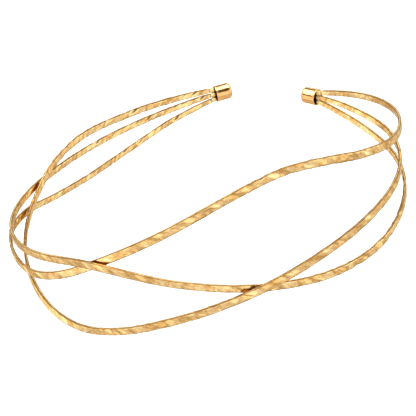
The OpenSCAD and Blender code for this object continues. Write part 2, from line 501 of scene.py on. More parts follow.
@dataclass(frozen=True)
class Plan:
    """The oval that the wires follow, and how the band lies on the floor.

    mean_r, egg and long shape the oval. left_a and right_a are the degrees round to the mouths, and a
    swing and a rise say which way a cap points. rest_tip and rest_lean are how the band lies, in
    degrees. shift sets it over the origin, and set_down works it out.
    """

    mean_r: float = 71.5
    egg: float = 3.5
    long: float = 2.0
    left_a: float = 163.4
    right_a: float = 164.2
    left_swing: float = 36.0
    right_swing: float = 16.0
    left_rise: float = 0.0
    right_rise: float = 0.1
    rest_tip: float = -3.3
    rest_lean: float = 0.7
    shift: tuple[float, float, float] = (0.0, 0.0, 0.0)

    def outward(self, degrees: float) -> Vector:
        """The level way out from the middle of the head."""
        return Vector((sin(radians(degrees)), -cos(radians(degrees)), 0.0))

    def follow(self, table: tuple[Row, ...], degrees: float) -> tuple[Vector, float]:
        """A point on the smooth curve through a wire's rows.

        Args:
            table: The wire's rows.
            degrees: How far round from the front.

        Returns:
            The point in the band's own frame, and the wire's share of its full width there.
        """
        last = len(table) - 2
        i = min(last, max((n for n in range(last + 1) if table[n].degrees <= degrees), default=0))
        p, q = table[i], table[i + 1]
        span = q.degrees - p.degrees
        s = (degrees - p.degrees) / span

        def slope(n: int) -> Vector:
            """How fast out, up and share change at a row.

            Args:
                n: The row's number.

            Returns:
                The change in each for one degree.
            """
            before, after = table[max(0, n - 1)], table[min(len(table) - 1, n + 1)]
            rise = Vector((after.out - before.out, after.up - before.up, after.share - before.share))
            return rise / (after.degrees - before.degrees)

        start, end = Vector((p.out, p.up, p.share)), Vector((q.out, q.up, q.share))
        at = (
            (2 * s**3 - 3 * s**2 + 1) * start + (s**3 - 2 * s**2 + s) * span * slope(i)
            + (3 * s**2 - 2 * s**3) * end + (s**3 - s**2) * span * slope(i + 1)
        )
        turn = radians(degrees)
        r = self.mean_r - self.egg * cos(turn) + self.long * cos(2 * turn) + at.x
        return r * self.outward(degrees) + Vector((0.0, 0.0, at.y)), at.z

    def turn(self, v: Vector) -> Vector:
        """Turn a direction from the band's own level to the way it lies.

        Args:
            v: A direction or a point in the band's own frame.

        Returns:
            The same, turned.
        """
        tip, lean = radians(self.rest_tip), radians(self.rest_lean)
        y, z = v.y * cos(tip) - v.z * sin(tip), v.y * sin(tip) + v.z * cos(tip)
        return Vector((v.x * cos(lean) + z * sin(lean), y, z * cos(lean) - v.x * sin(lean)))

    def place(self, p: Vector) -> Vector:
        """Put a point of the band's own frame where it lies on the floor."""
        return self.turn(p) + Vector(self.shift)

    def set_down(self, cap: tuple[Vector, Vector], mouth: "Mouth", lip_r: float) -> "Plan":
        """Work out the band's place over the origin from the frame's left cap.

        That cap points inwards, back and a little down, so its lowest x, its lowest y and its highest
        z all lie on the lip at its mouth.

        Args:
            cap: The lowest and the highest corner of the frame's left cap, in metres.
            mouth: The left mouth in the band's own frame.
            lip_r: The radius of the cap's lip.

        Returns:
            The same plan with its shift.
        """
        low, high = (corner / MM for corner in cap)
        at, way = self.turn(mouth.at), self.turn(mouth.way).normalized()
        reach = Vector([lip_r * sqrt(1.0 - w * w) for w in way])
        return replace(self, shift=(low.x - at.x + reach.x, low.y - at.y + reach.y, high.z - at.z - reach.z))


@dataclass(frozen=True)
class Mouth:
    """Where a cap opens, which way it points, and the pitch of the three wire ends in it."""

    at: Vector
    way: Vector
    pitch: float = 1.9

    def end(self, layer: Layer, run: float) -> Vector:
        """A point on the middle of a wire's end, run millimetres into the cap."""
        across = (Vector((0.0, 0.0, 1.0)) - self.way * self.way.z).normalized()
        return self.at + self.way * run + across * self.pitch * layer.value


LOW_ROWS = rows(
    (-164, 3, 3.5, 0.68), (-150, 0.75, 4, 0.83), (-134, -0.25, 4.25, 0.9), (-118, -0.5, 4.25, 0.9),
    (-104, -0.5, 1, 0.86), (-90, -1, -4, 0.86), (-72, -1.75, -8.5, 0.84), (-52, -2, -12.5, 0.82),
    (-34, -1.5, -16.5, 0.8), (-20, -1, -17.75, 0.83), (-6, 0, -15.5, 0.9), (12, 1, -10.7, 0.97),
    (34, 1.5, -5.7, 0.98), (56, 1.25, -1.8, 0.97), (78, 0.5, -0.4, 0.95), (102, -0.25, -1, 0.88),
    (126, -0.5, -1, 0.8), (146, -0.5, -1.25, 0.76), (164, 0, 0.4, 0.66),
)
MIDDLE_ROWS = rows(
    (-164, 3, 1.75, 0.66), (-150, 1, 0, 0.76), (-134, 0.5, -1.5, 0.81), (-110, 0.75, -2.5, 0.83),
    (-92, 0.75, -1.5, 0.83), (-72, 0.25, 1, 0.86), (-52, 0.25, 4, 0.87), (-34, 0.5, 7, 0.89),
    (-14, 0.75, 10, 0.92), (-2, 0.75, 8.25, 0.93), (14, 0.25, 2.2, 0.86), (36, -0.25, -5.75, 0.87),
    (58, -0.25, -11.5, 0.93), (78, 0, -13.4, 0.86), (98, 0, -12.25, 0.8),
    (120, -0.25, -10.25, 0.77), (140, -0.5, -8.25, 0.76), (152, -0.75, -5.25, 0.74),
    (164, -0.75, -1.2, 0.66),
)
UPPER_ROWS = rows(
    (-164, 3, -0.25, 0.66), (-150, 0.75, -4.5, 0.74), (-134, -0.25, -10, 0.76),
    (-118, -0.25, -12.75, 0.75), (-102, -0.25, -11, 0.8), (-84, 0.5, -5.75, 0.86),
    (-66, 1.5, -2.5, 0.89), (-50, 1.5, -2.5, 0.9), (-36, 0.75, -1.75, 0.91),
    (-22, -0.25, 2.75, 0.94), (-6, -1, 10.6, 0.98), (12, -1.5, 19.1, 0.98), (28, -1.5, 26.2, 0.95),
    (40, -1.25, 29.8, 0.95), (50, -1.25, 30.4, 0.97), (62, -0.75, 27.5, 1), (78, 0, 21.2, 1),
    (98, 1, 14.5, 0.95), (122, 1.5, 9.8, 0.92), (144, 1.25, 5.75, 0.84), (164, 0.75, 2, 0.68),
)


@dataclass
class Station:
    """One place on a wire's path.

    at in the band's own frame, the level way out, near as the distance along the band from the nearer
    mouth, below 0 inside a cap, degrees round from the front, and the share of the full width.
    """

    at: Vector
    out: Vector
    near: float
    degrees: float
    share: float


@dataclass(frozen=True)
class Sheath:
    """Sizes of the flat wire and of its ends, in millimetres.

    crowded is the distance between two wires' middles under which each gets painted shade from the
    other, and crowding the distance over which that grows. ring is the step along the wire, and the two
    counts of steps are points across a face and over an edge. A cap draws the wires in over draw_in, a
    wire slims over slim, and an end goes over into the flat wire over flatten. A neck lies neck_at
    beyond where the end stops showing, and reaches neck_half to each side.
    """

    width: float = 2.92
    thick: float = 1.16
    corner: float = 0.26
    end_d: float = 1.84
    end_in: float = 4.0
    crowded: float = 2.9
    crowding: float = 1.2
    draw_in: float = 12.0
    slim: float = 6.0
    flatten: float = 1.4
    neck_at: float = 0.25
    neck_half: float = 0.55
    ring: float = 0.22
    face_steps: int = 12
    side_steps: int = 4


# The tree that draws and hammers a wire


@dataclass
class Blow:
    """One blow at a spot: the height of its dish there, and its shade."""

    height: Value
    tone: Value


@dataclass
class HammerPress:
    """A geometry node tree that sweeps a wire along its path and strikes both of its flat faces.

    reach is how many blows to each side are weighed at a spot. edge_beat is how many blows lean over
    an edge for each one on its face, and inner_beat how many fall on the inner face for each one on
    the outer face.
    """

    sheath: Sheath
    seed: int = 7
    reach: int = 2
    edge_beat: float = 1.45
    inner_beat: float = 1.3
    sheet: NodeSheet = field(init=False)
    sockets: dict[str, str] = field(default_factory=dict, init=False)

    def build(self) -> bpy.types.NodeTree:
        """Build the tree, with a named input for each size.

        Returns:
            The finished tree.
        """
        tree = bpy.data.node_groups.new("hammered wire", "GeometryNodeTree")
        self.sheet = NodeSheet(tree)
        tree.interface.new_socket(name="Path", in_out="INPUT", socket_type="NodeSocketGeometry")
        tree.interface.new_socket(name="Wire", in_out="OUTPUT", socket_type="NodeSocketGeometry")
        sizes = {
            "Width": self.sheath.width, "Thickness": self.sheath.thick, "Corner": self.sheath.corner,
            "End diameter": self.sheath.end_d, "Dish": 0.052, "Tilt": 0.2, "Roll": 0.46, "Depth": 0.055,
            "Slant": 0.75, "Softness": 0.0022, "Spread": 0.05, "Edge lean": 0.38, "Edge reach": 0.15,
        }
        for name, size in sizes.items():
            made = tree.interface.new_socket(name=name, in_out="INPUT", socket_type="NodeSocketFloat")
            made.default_value = size
            self.sockets[name] = made.identifier
        seed = tree.interface.new_socket(name="Seed", in_out="INPUT", socket_type="NodeSocketInt")
        seed.default_value = self.seed
        self.sockets["Seed"] = seed.identifier
        finish = tree.interface.new_socket(name="Finish", in_out="INPUT", socket_type="NodeSocketMaterial")
        self.sockets["Finish"] = finish.identifier
        given = self.sheet.node("NodeGroupInput")
        self.draw({s.name: s for s in given.outputs if s.name})
        return tree

    def number(self, name: str) -> Value:
        """A number that the path or an earlier node left on the points."""
        made = self.sheet.node("GeometryNodeInputNamedAttribute", {"data_type": "FLOAT"}, {"Name": name})
        return Value(self.sheet, next(s for s in made.outputs if s.enabled))

    def direction(self, name: str) -> bpy.types.NodeSocket:
        """A vector that the path left on the points."""
        settings = {"data_type": "FLOAT_VECTOR"}
        made = self.sheet.node("GeometryNodeInputNamedAttribute", settings, {"Name": name})
        return next(s for s in made.outputs if s.enabled)

    def store(
        self, shape: bpy.types.NodeSocket, name: str, value: object, kind: str = "FLOAT"
    ) -> bpy.types.NodeSocket:
        """Leave a value on the points.

        Args:
            shape: The geometry.
            name: The attribute's name.
            value: A Value or a socket.
            kind: Blender's name for the kind of value.

        Returns:
            The geometry with the attribute.
        """
        settings = {"data_type": kind, "domain": "POINT"}
        feeds = {"Geometry": shape, "Name": name, "Value": value}
        made = self.sheet.node("GeometryNodeStoreNamedAttribute", settings, feeds)
        return made.outputs["Geometry"]

    def luck(self, number: Value, seed: Value) -> tuple[Value, Value, Value]:
        """Three random numbers for one blow.

        Args:
            number: The blow's number along the wire.
            seed: What makes this row of blows its own.

        Returns:
            The numbers, each from -0.5 to 0.5.
        """
        feeds = {"Min": (-0.5, -0.5, -0.5), "Max": (0.5, 0.5, 0.5), "ID": number, "Seed": seed}
        made = self.sheet.node("FunctionNodeRandomValue", {"data_type": "FLOAT_VECTOR"}, feeds)
        return self.sheet.xyz(next(s for s in made.outputs if s.enabled))

    def struck(
        self, beat: Value, pitch: Value, across: Value, half_w: Value, force: Value, seed: Value,
        sizes: dict[str, Value], lean: float,
    ) -> list[Blow]:
        """A row of overlapping blows, which are shallow dishes that stand aslant on the face.

        Args:
            beat: How many blows come before the spot.
            pitch: Distance between blows.
            across: Distance from the middle of the face.
            half_w: Half the width of the face.
            force: How hard this stretch was struck.
            seed: What makes this row of blows its own.
            sizes: The tree's inputs.
            lean: 0 for blows on the face, and 1 or -1 for blows that lean over one of its edges.

        Returns:
            The blows near the spot.
        """
        first = self.sheet.maths("FLOOR", beat)
        blows = []
        for reach in range(-self.reach, self.reach + 1):
            number = first + float(reach)
            jump, slide, tilt = self.luck(number, seed)
            roll, deep, tone = self.luck(number, seed + 5.0)
            if lean:
                beside = across - lean * half_w * 0.7
                along = (beat - number - 0.5 - 0.7 * jump) * pitch + sizes["Slant"] * beside
                height = (
                    (deep + 0.5) * sizes["Edge reach"]
                    - lean * sizes["Edge lean"] * (0.8 + roll) * beside * force
                    + sizes["Tilt"] * tilt * along * force + 1.4 * sizes["Dish"] * along * along * force
                )
            else:
                beside = across - 0.9 * slide
                along = (beat - number - 0.5 - 0.7 * jump) * pitch + sizes["Slant"] * beside
                height = (
                    (sizes["Tilt"] * tilt * along + sizes["Roll"] * roll * beside) * force
                    + sizes["Dish"] * (along * along + 0.8 * beside * beside) * force
                    - sizes["Depth"] * (deep + 0.5) * force
                )
            blows.append(Blow(height, tone))
        return blows

    def face(
        self, which: Face, beat: Value, pitch: Value, across: Value, half_w: Value, force: Value,
        seed: Value, sizes: dict[str, Value],
    ) -> tuple[Value, Value, Value]:
        """Strike one face in its middle and along both of its edges.

        Args:
            which: The outer or the inner face.
            beat: How many blows come before the spot.
            pitch: Distance between blows.
            across: Distance from the middle of the face.
            half_w: Half the width of the face.
            force: How hard this stretch was struck.
            seed: The wire's seed.
            sizes: The tree's inputs.

        Returns:
            The height over the face, the shade of the blow from 0 to 1, and the nearness of a ridge
            between blows from 0 to 0.5.
        """
        own = seed + float(which.value)
        blows = self.struck(beat, pitch, across, half_w, force, own, sizes, 0.0)
        for n, lean in enumerate((1.0, -1.0)):
            edge_seed = own + 20.0 + 9.0 * n
            edge_beat = beat * self.edge_beat + 0.37 * n
            edge_pitch = pitch / self.edge_beat
            blows += self.struck(edge_beat, edge_pitch, across, half_w, force, edge_seed, sizes, lean)
        low = blows[0].height
        for blow in blows[1:]:
            low = low.least(blow.height)
        # The lower a blow lies at a spot, the more it weighs there
        weight, tone, square = 0.0, 0.0, 0.0
        for blow in blows:
            share = self.sheet.maths("EXPONENT", (low - blow.height).most(-0.3) / sizes["Softness"])
            weight, tone, square = weight + share, tone + share * blow.tone, square + share * share
        low = low - sizes["Softness"] * self.sheet.maths("LOGARITHM", weight, e)
        return low, tone / weight + 0.5, 1.0 - square / (weight * weight)

    def draw(self, given: dict[str, bpy.types.NodeSocket]) -> None:
        """Lay out the tree's nodes.

        Args:
            given: The tree's inputs by name.
        """
        sheet, steps, sides = self.sheet, float(self.sheath.face_steps), float(self.sheath.side_steps)
        sizes = {name: Value(sheet, given[name]) for name in self.sockets if name not in ("Seed", "Finish")}
        seed = Value(sheet, given["Seed"])
        round_it = int(2 * (steps + sides))
        feeds = {"Resolution": round_it, "Radius": MM}
        ring = sheet.node("GeometryNodeCurvePrimitiveCircle", {"mode": "RADIUS"}, feeds)
        index = Value(sheet, sheet.node("GeometryNodeInputIndex").outputs[0])
        profile = self.store(ring.outputs["Curve"], "spot", index)
        path = sheet.node("GeometryNodeMeshToCurve", feeds={"Mesh": given["Path"]})
        swept = sheet.node(
            "GeometryNodeCurveToMesh",
            feeds={"Curve": path.outputs["Curve"], "Profile Curve": profile, "Fill Caps": True},
        )
        shape = swept.outputs["Mesh"]

        # Round the section: down the outer face, underneath, up the inner face, back over the top
        spot, full = self.number("spot"), self.number("full")
        up = (1.0 - 2.0 * (spot / steps).within(0.0, 1.0)
              + 2.0 * ((spot - steps - sides) / steps).within(0.0, 1.0))
        out = (1.0 - 2.0 * ((spot - steps) / sides).within(0.0, 1.0)
               + 2.0 * ((spot - 2.0 * steps - sides) / sides).within(0.0, 1.0))
        up, out = sheet.maths("SINE", up * (pi / 2)), sheet.maths("SINE", out * (pi / 2))
        beat, pitch, force = self.number("beat"), self.number("pitch"), self.number("force")
        swell = Value(sheet, sheet.node(
            "ShaderNodeTexNoise", {"noise_dimensions": "1D"},
            {"W": beat * 0.8 + 31.0 * seed, "Scale": 1.0, "Detail": 2.0},
        ).outputs[0])
        spread = 1.0 + sizes["Spread"] * 2.0 * (swell - 0.5) * force
        half_w = sizes["Width"] * 0.5 * self.number("share") * spread
        half_t = sizes["Thickness"] * 0.5
        corner = sizes["Corner"]
        flat_x, flat_y = out * half_t, up * half_w
        in_x = flat_x.within(corner - half_t, half_t - corner)
        in_y = flat_y.within(corner - half_w, half_w - corner)
        off_x, off_y = flat_x - in_x, flat_y - in_y
        off = sheet.maths("SQRT", off_x * off_x + off_y * off_y).most(1e-5)
        flat_x, flat_y = in_x + corner * off_x / off, in_y + corner * off_y / off

        seen, seen_shade, seen_crease = self.face(
            Face.OUTER, beat, pitch, flat_y, half_w, force, seed, sizes
        )
        hid, hid_shade, hid_crease = self.face(
            Face.INNER, beat * self.inner_beat, pitch / self.inner_beat, flat_y, half_w, force, seed, sizes
        )
        pressed = flat_x.least(half_t + seen).most(-half_t - hid)
        outer = out > 0.0
        shade = sheet.between(outer, hid_shade, seen_shade)
        crease = sheet.between(outer, hid_crease, seen_crease)

        size = sheet.maths("SQRT", out * out + up * up).most(1e-5)
        neck = self.number("neck")
        # An end is neither round nor square: it was flattened a little on the way into its cap
        end_r = sizes["End diameter"] * 0.25 * (1.0 - 0.2 * neck)
        x = sheet.between(full, end_r * out * (0.55 + 0.85 / size), pressed)
        y = sheet.between(full, end_r * up * (1.0 + 1.0 / size), flat_y)
        side = sheet.vector("SCALE", self.direction("out_way"), scale=x * MM)
        rise = sheet.vector("SCALE", self.direction("up_way"), scale=y * MM)
        at = sheet.vector("ADD", self.direction("centre"), sheet.vector("ADD", side, rise))

        run = self.number("run")
        feeds = {"X": run * MM, "Y": y * MM, "Z": x * MM}
        place = sheet.node("ShaderNodeCombineXYZ", feeds=feeds).outputs[0]
        # Painted shade: the sides that a wire turns to a neighbour, its necks and its part inside a cap go
        # deep brown
        above, behind = self.number("above"), self.number("behind")
        close = above.most(0.0) * up.step(0.55, 0.95) - above.least(0.0) * up.step(-0.55, -0.95)
        turned = behind.most(0.0) * out.step(0.2, 0.9) - behind.least(0.0) * out.step(-0.2, -0.9)
        close = (1.0 - 0.8 * full) * close + 0.1 * full * turned
        tight = close + 0.8 * neck + self.number("sunk")
        shape = self.store(shape, "blow", sheet.between(full, 0.6, shade))
        shape = self.store(shape, "crease", crease * full)
        shape = self.store(shape, "across", up * full)
        shape = self.store(shape, "face", out)
        shape = self.store(shape, "matt", (1.0 - full) * self.number("inner"))
        shape = self.store(shape, "tight", tight.within(0.0, 1.0))
        shape = self.store(shape, "place", place, "FLOAT_VECTOR")
        feeds = {"Geometry": shape, "Position": at}
        shape = sheet.node("GeometryNodeSetPosition", feeds=feeds).outputs["Geometry"]
        shape = sheet.node("GeometryNodeSetShadeSmooth", feeds={"Geometry": shape}).outputs["Geometry"]
        shape = sheet.node("GeometryNodeRealizeInstances", feeds={"Geometry": shape}).outputs["Geometry"]
        done = sheet.node("GeometryNodeSetMaterial", feeds={"Geometry": shape, "Material": given["Finish"]})
        sheet.node("NodeGroupOutput", feeds={"Wire": done.outputs["Geometry"]})


# The band's pieces


@dataclass
class HammeredWire:
    """One wire of the band, from inside the left cap to inside the right one.

    left_show and right_show are how far its end shows before it flattens, left_shade and right_shade
    how far out of a mouth the cap's painted shade reaches, and left_matt and right_matt how matt its ends
    are.
    """

    name: str
    node: str
    table: tuple[Row, ...]
    hammering: tuple[Strike, ...]
    left_layer: Layer
    right_layer: Layer
    seed: int
    plan: Plan
    left: Mouth
    right: Mouth
    press: HammerPress
    left_show: float = 1.6
    right_show: float = 1.6
    left_shade: float = 0.3
    right_shade: float = -0.3
    left_matt: float = 0.3
    right_matt: float = 1.0
    step: float = 2.0

    def blown(self, degrees: float) -> Strike:
        """How the wire was hammered at a place, between the rows of its table.

        Args:
            degrees: How far round from the front.

        Returns:
            The hammering there.
        """
        table = self.hammering
        i = max((n for n in range(len(table) - 1) if table[n].degrees <= degrees), default=0)
        p, q = table[i], table[i + 1]
        s = min(1.0, max(0.0, (degrees - p.degrees) / (q.degrees - p.degrees)))
        return Strike(
            degrees, p.pitch + s * (q.pitch - p.pitch), p.force + s * (q.force - p.force),
            p.roll + s * (q.roll - p.roll),
        )

    def stations(self) -> list[Station]:
        """The places that the wire passes through, as the part sets them out.

        Returns:
            The places, from the end in the left cap to the end in the right one.
        """
        plan, sheath = self.plan, self.press.sheath
        to_left = self.left.end(self.left_layer, 0.0) - plan.follow(self.table, -plan.left_a)[0]
        to_right = self.right.end(self.right_layer, 0.0) - plan.follow(self.table, plan.right_a)[0]

        def ease(distance: float) -> float:
            """How strongly a cap draws the wire in."""
            s = min(1.0, max(0.0, 1.0 - distance / sheath.draw_in))
            return s * s * (3.0 - 2.0 * s)

        inside = [sheath.end_in, sheath.end_in / 2, 0.0]
        narrow = sheath.end_d / sheath.width
        first = ceil(-plan.left_a / self.step + 0.4) * self.step
        count = int((plan.right_a - 0.4 * self.step - first) / self.step) + 1
        left_out, right_out = plan.outward(-plan.left_a), plan.outward(plan.right_a)
        done = [
            Station(self.left.end(self.left_layer, run), left_out, -run, -plan.left_a, narrow)
            for run in inside
        ]
        for n in range(count):
            a = first + n * self.step
            from_left = radians(a + plan.left_a) * plan.mean_r
            from_right = radians(plan.right_a - a) * plan.mean_r
            near = min(from_left, from_right)
            free, share = plan.follow(self.table, a)
            at = free + to_left * ease(from_left) + to_right * ease(from_right)
            # The strip is a little narrower where it stands close to its neighbours
            share = narrow + (share - narrow) * min(1.0, near / sheath.slim)
            done.append(Station(at, plan.outward(a), near, a, share))
        done += [
            Station(self.right.end(self.right_layer, run), right_out, -run, plan.right_a, narrow)
            for run in reversed(inside)
        ]
        return done

    def path(self) -> list[Station]:
        """The same path in short steps, on a smooth curve through its stations.

        Returns:
            Places a ring's distance apart.
        """
        spots, fine = self.stations(), []
        for i in range(len(spots) - 1):
            p, q = spots[i], spots[i + 1]
            before, after = spots[max(0, i - 1)], spots[min(len(spots) - 1, i + 2)]
            span = (q.at - p.at).length
            start = (q.at - before.at) * span / max(1e-6, (p.at - before.at).length + span)
            end = (after.at - p.at) * span / max(1e-6, (after.at - q.at).length + span)
            count = max(1, ceil(span / self.press.sheath.ring))
            for n in range(count + (i == len(spots) - 2)):
                s = n / count
                at = (
                    (2 * s**3 - 3 * s**2 + 1) * p.at + (s**3 - 2 * s**2 + s) * start
                    + (3 * s**2 - 2 * s**3) * q.at + (s**3 - s**2) * end
                )
                fine.append(Station(
                    at, p.out.lerp(q.out, s), p.near + s * (q.near - p.near),
                    p.degrees + s * (q.degrees - p.degrees), p.share + s * (q.share - p.share),
                ))
        return fine

    def build(self, finish: bpy.types.Material, others: list[Vector]) -> bpy.types.Object:
        """Make the path, send it through the hammer press and keep the plain mesh.

        Args:
            finish: The wire's material.
            others: Points along the other wires.

        Returns:
            The finished piece.
        """
        fine, plan, sheath = self.path(), self.plan, self.press.sheath
        crowd = KDTree(len(others))
        for n, point in enumerate(others):
            crowd.insert(point, n)
        crowd.balance()
        mesh = bpy.data.meshes.new(self.name)
        centres = [plan.place(s.at) * MM for s in fine]
        mesh.from_pydata(centres, [(n, n + 1) for n in range(len(fine) - 1)], [])
        marks = {"centre": centres, "out_way": [], "up_way": [], "run": [], "full": [], "neck": [],
                 "beat": [], "pitch": [], "force": [], "share": [], "above": [], "behind": [], "sunk": [],
                 "inner": []}
        run = beat = 0.0
        for n, s in enumerate(fine):
            before, after = fine[max(0, n - 1)], fine[min(len(fine) - 1, n + 1)]
            along = (after.at - before.at).normalized()
            blow = self.blown(s.degrees)
            out = (s.out - along * s.out.dot(along)).normalized()
            up = out.cross(along)
            show = self.left_show if s.degrees < 0 else self.right_show
            full = min(1.0, max(0.0, (s.near - show) / sheath.flatten))
            full = full * full * (3.0 - 2.0 * full)
            lean = radians(blow.roll) * full
            out, up = out * cos(lean) + up * sin(lean), up * cos(lean) - out * sin(lean)
            pinch = max(0.0, 1.0 - abs(s.near - show - sheath.neck_at) / sheath.neck_half) * (show > 1.0)
            shade = self.left_shade if s.degrees < 0 else self.right_shade
            if n:
                step = (s.at - fine[n - 1].at).length
                run += step
                beat += step / blow.pitch
            marks["out_way"].append(plan.turn(out))
            marks["up_way"].append(plan.turn(up))
            marks["run"].append(run)
            marks["full"].append(full)
            marks["neck"].append(pinch)
            marks["inner"].append(self.left_matt if s.degrees < 0 else self.right_matt)
            # Painted shade of the cap, deepest inside its mouth
            marks["sunk"].append(min(1.0, max(0.0, (shade + 0.25 - s.near) / 0.5)))
            marks["beat"].append(beat)
            marks["pitch"].append(blow.pitch)
            marks["force"].append(blow.force)
            marks["share"].append(s.share)
            # The side that faces the nearest other wire is marked for painted shade
            beside, _, gap = crowd.find(s.at)
            close = min(1.0, max(0.0, (sheath.crowded - gap) / sheath.crowding)) ** 2
            beside = (beside - s.at).normalized() * close
            marks["above"].append(beside.dot(up))
            marks["behind"].append(beside.dot(out))
        for name, values in marks.items():
            if name in ("centre", "out_way", "up_way"):
                made = mesh.attributes.new(name, "FLOAT_VECTOR", "POINT")
                made.data.foreach_set("vector", [c for v in values for c in v])
            else:
                mesh.attributes.new(name, "FLOAT", "POINT").data.foreach_set("value", values)
        piece = bpy.data.objects.new(self.name, mesh)
        bpy.context.scene.collection.objects.link(piece)
        hammering = piece.modifiers.new("hammering", "NODES")
        hammering.node_group = self.press.sheet.tree
        hammering[self.press.sockets["Seed"]] = self.seed
        hammering[self.press.sockets["Finish"]] = finish
        depsgraph = bpy.context.evaluated_depsgraph_get()
        done = bpy.data.meshes.new_from_object(
            piece.evaluated_get(depsgraph), preserve_all_data_layers=True, depsgraph=depsgraph
        )
        piece.modifiers.clear()
        piece.data = done
        bpy.data.meshes.remove(mesh)
        done.name = self.name
        for name in [a.name for a in done.attributes if a.name in marks or a.name == "spot"]:
            done.attributes.remove(done.attributes[name])
        return piece

    def dress(self, piece: bpy.types.Object) -> None:
        """Fix the piece to the body and let it stand for its plain solid.

        Args:
            piece: The finished piece.
        """
        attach(piece, "root")
        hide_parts(self.node)


@dataclass
class EndCap:
    """A turned cap that holds the three wire ends.

    shoulder is the radius of its rounded tip and crown how far the tip swells. tip_more is how much
    thicker than the wall the tip is, bore_soft the radius round the bore's floor, and turns how many
    points go round the cap.
    """

    name: str
    node: str
    mouth: Mouth
    plan: Plan
    outer_d: float = 6.4
    length: float = 6.7
    wall: float = 0.35
    shoulder: float = 1.7
    crown: float = 0.12
    lip_w: float = 0.6
    lip_h: float = 0.1
    tip_more: float = 0.45
    bore_soft: float = 0.5
    turns: int = 96

    def profile(self) -> list[tuple[float, float, float, float]]:
        """The cap's outline from the middle of its bore's floor to the middle of its tip.

        Returns:
            (radius, height over the mouth, how far inside for the bore's painted shade, how near a rim for
            its painted highlight) for each point.
        """
        r, bore, round_in = self.outer_d / 2, self.outer_d / 2 - self.wall, self.bore_soft
        floor = self.length - self.wall - self.tip_more
        soft = self.lip_h + 0.06
        line: list[tuple[float, float, float, float]] = [(0.0, floor, 1.0, 0.0)]
        line += [(bore * s, floor, 1.0, 0.0) for s in (0.4, 0.75)]
        for n in range(5):
            t = pi / 2 * n / 4
            line.append((bore - round_in + round_in * sin(t), floor - round_in + round_in * cos(t), 1.0, 0.0))
        for n in range(1, 9):
            z = (floor - round_in) * (1 - n / 9)
            line.append((bore, z, min(1.0, 0.25 + z / 0.8), 0.0))
        mid, half = (bore + r + self.lip_h) / 2, (self.wall + self.lip_h) / 2
        for n in range(9):
            t = pi * n / 8
            line.append((mid - half * cos(t), 0.14 * (1 - sin(t)), max(0.0, 0.4 - 0.4 * n / 4), 1.0))
        line.append((r + self.lip_h, self.lip_w * 0.5, 0.0, 0.8))
        for n in range(1, 6):
            t = pi / 2 * n / 5
            line.append((r + self.lip_h * cos(t), self.lip_w * 0.6 + soft * sin(t), 0.0, 0.6 * (1 - n / 5)))
        straight = self.length - self.shoulder
        start = self.lip_w * 0.6 + soft
        for n in range(1, 16):
            line.append((r, start + (straight - start) * n / 16, 0.0, 0.0))
        for n in range(17):
            t = pi / 2 * n / 16
            z = straight + (self.shoulder - self.crown) * sin(t)
            line.append((r - self.shoulder * (1 - cos(t)), z, 0.0, 0.0))
        for n in range(1, 7):
            s = n / 7
            line.append(((r - self.shoulder) * (1 - s), self.length - self.crown * (1 - s) ** 2, 0.0, 0.0))
        line.append((0.0, self.length, 0.0, 0.0))
        return line

    def build(self, finish: bpy.types.Material) -> bpy.types.Object:
        """Turn the profile round the cap's axis into one closed skin.

        Args:
            finish: The cap's material.

        Returns:
            The finished piece.
        """
        line = self.profile()
        at, way = self.plan.place(self.mouth.at), self.plan.turn(self.mouth.way).normalized()
        upright = Matrix.Rotation(atan2(way.y, way.x), 3, "Z") @ Matrix.Rotation(acos(way.z), 3, "Y")
        points, place, inside, rim = [], [], [], []
        rings: list[list[int]] = []
        for radius, z, deep, edge in line:
            start = len(points)
            count = 1 if radius < 1e-9 else self.turns
            for n in range(count):
                t = 2 * pi * n / count
                # The hand that held the file left it a hair out of round
                r = radius * (1 + 0.0025 * sin(2 * t + 1.1 * z) + 0.0015 * sin(5 * t - 2.3 * z))
                points.append((at + upright @ Vector((r * cos(t), r * sin(t), z))) * MM)
                place.append(Vector((z, r * cos(t), r * sin(t))) * MM)
                inside.append(deep)
                rim.append(edge)
            rings.append([start + n for n in range(count)])
        faces = []
        for low, high in zip(rings, rings[1:]):
            for n in range(self.turns):
                m = (n + 1) % self.turns
                if len(low) == 1:
                    faces.append((low[0], high[n], high[m]))
                elif len(high) == 1:
                    faces.append((low[n], high[0], low[m]))
                else:
                    faces.append((low[n], high[n], high[m], low[m]))
        mesh = bpy.data.meshes.new(self.name)
        mesh.from_pydata(points, [], [tuple(reversed(f)) for f in faces])
        flat_place = [c for p in place for c in p]
        mesh.attributes.new("place", "FLOAT_VECTOR", "POINT").data.foreach_set("vector", flat_place)
        # inside carries the bore's painted shade, and rim the rims' painted highlight
        mesh.attributes.new("inside", "FLOAT", "POINT").data.foreach_set("value", inside)
        mesh.attributes.new("rim", "FLOAT", "POINT").data.foreach_set("value", rim)
        mesh.shade_smooth()
        mesh.materials.append(finish)
        piece = bpy.data.objects.new(self.name, mesh)
        bpy.context.scene.collection.objects.link(piece)
        return piece

    def dress(self, piece: bpy.types.Object) -> None:
        """Fix the piece to the body and let it stand for its plain solid.

        Args:
            piece: The finished piece.
        """
        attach(piece, "root")
        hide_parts(self.node)


# The studio


@dataclass(frozen=True)
class LitBand:
    """A lit band all round the studio, from one height over the horizon to another, in degrees.

    behind is the share of its light at the back. soft and soft_top are its soft lower and upper edge.
    """

    low: float
    high: float
    light: float
    behind: float
    soft_top: float = 5.0
    soft: float = 5.0


@dataclass(frozen=True)
class Softbox:
    """The light overhead, between two angles from the front horizon up and over to the back.

    half_side is how far it reaches to each side, as a slope. soft_low, soft and soft_side are its
    soft edges.
    """

    low: float = 72.0
    high: float = 123.0
    half_side: float = 1.2
    light: float = 4.4
    soft_low: float = 10.0
    soft: float = 5.0
    soft_side: float = 0.25


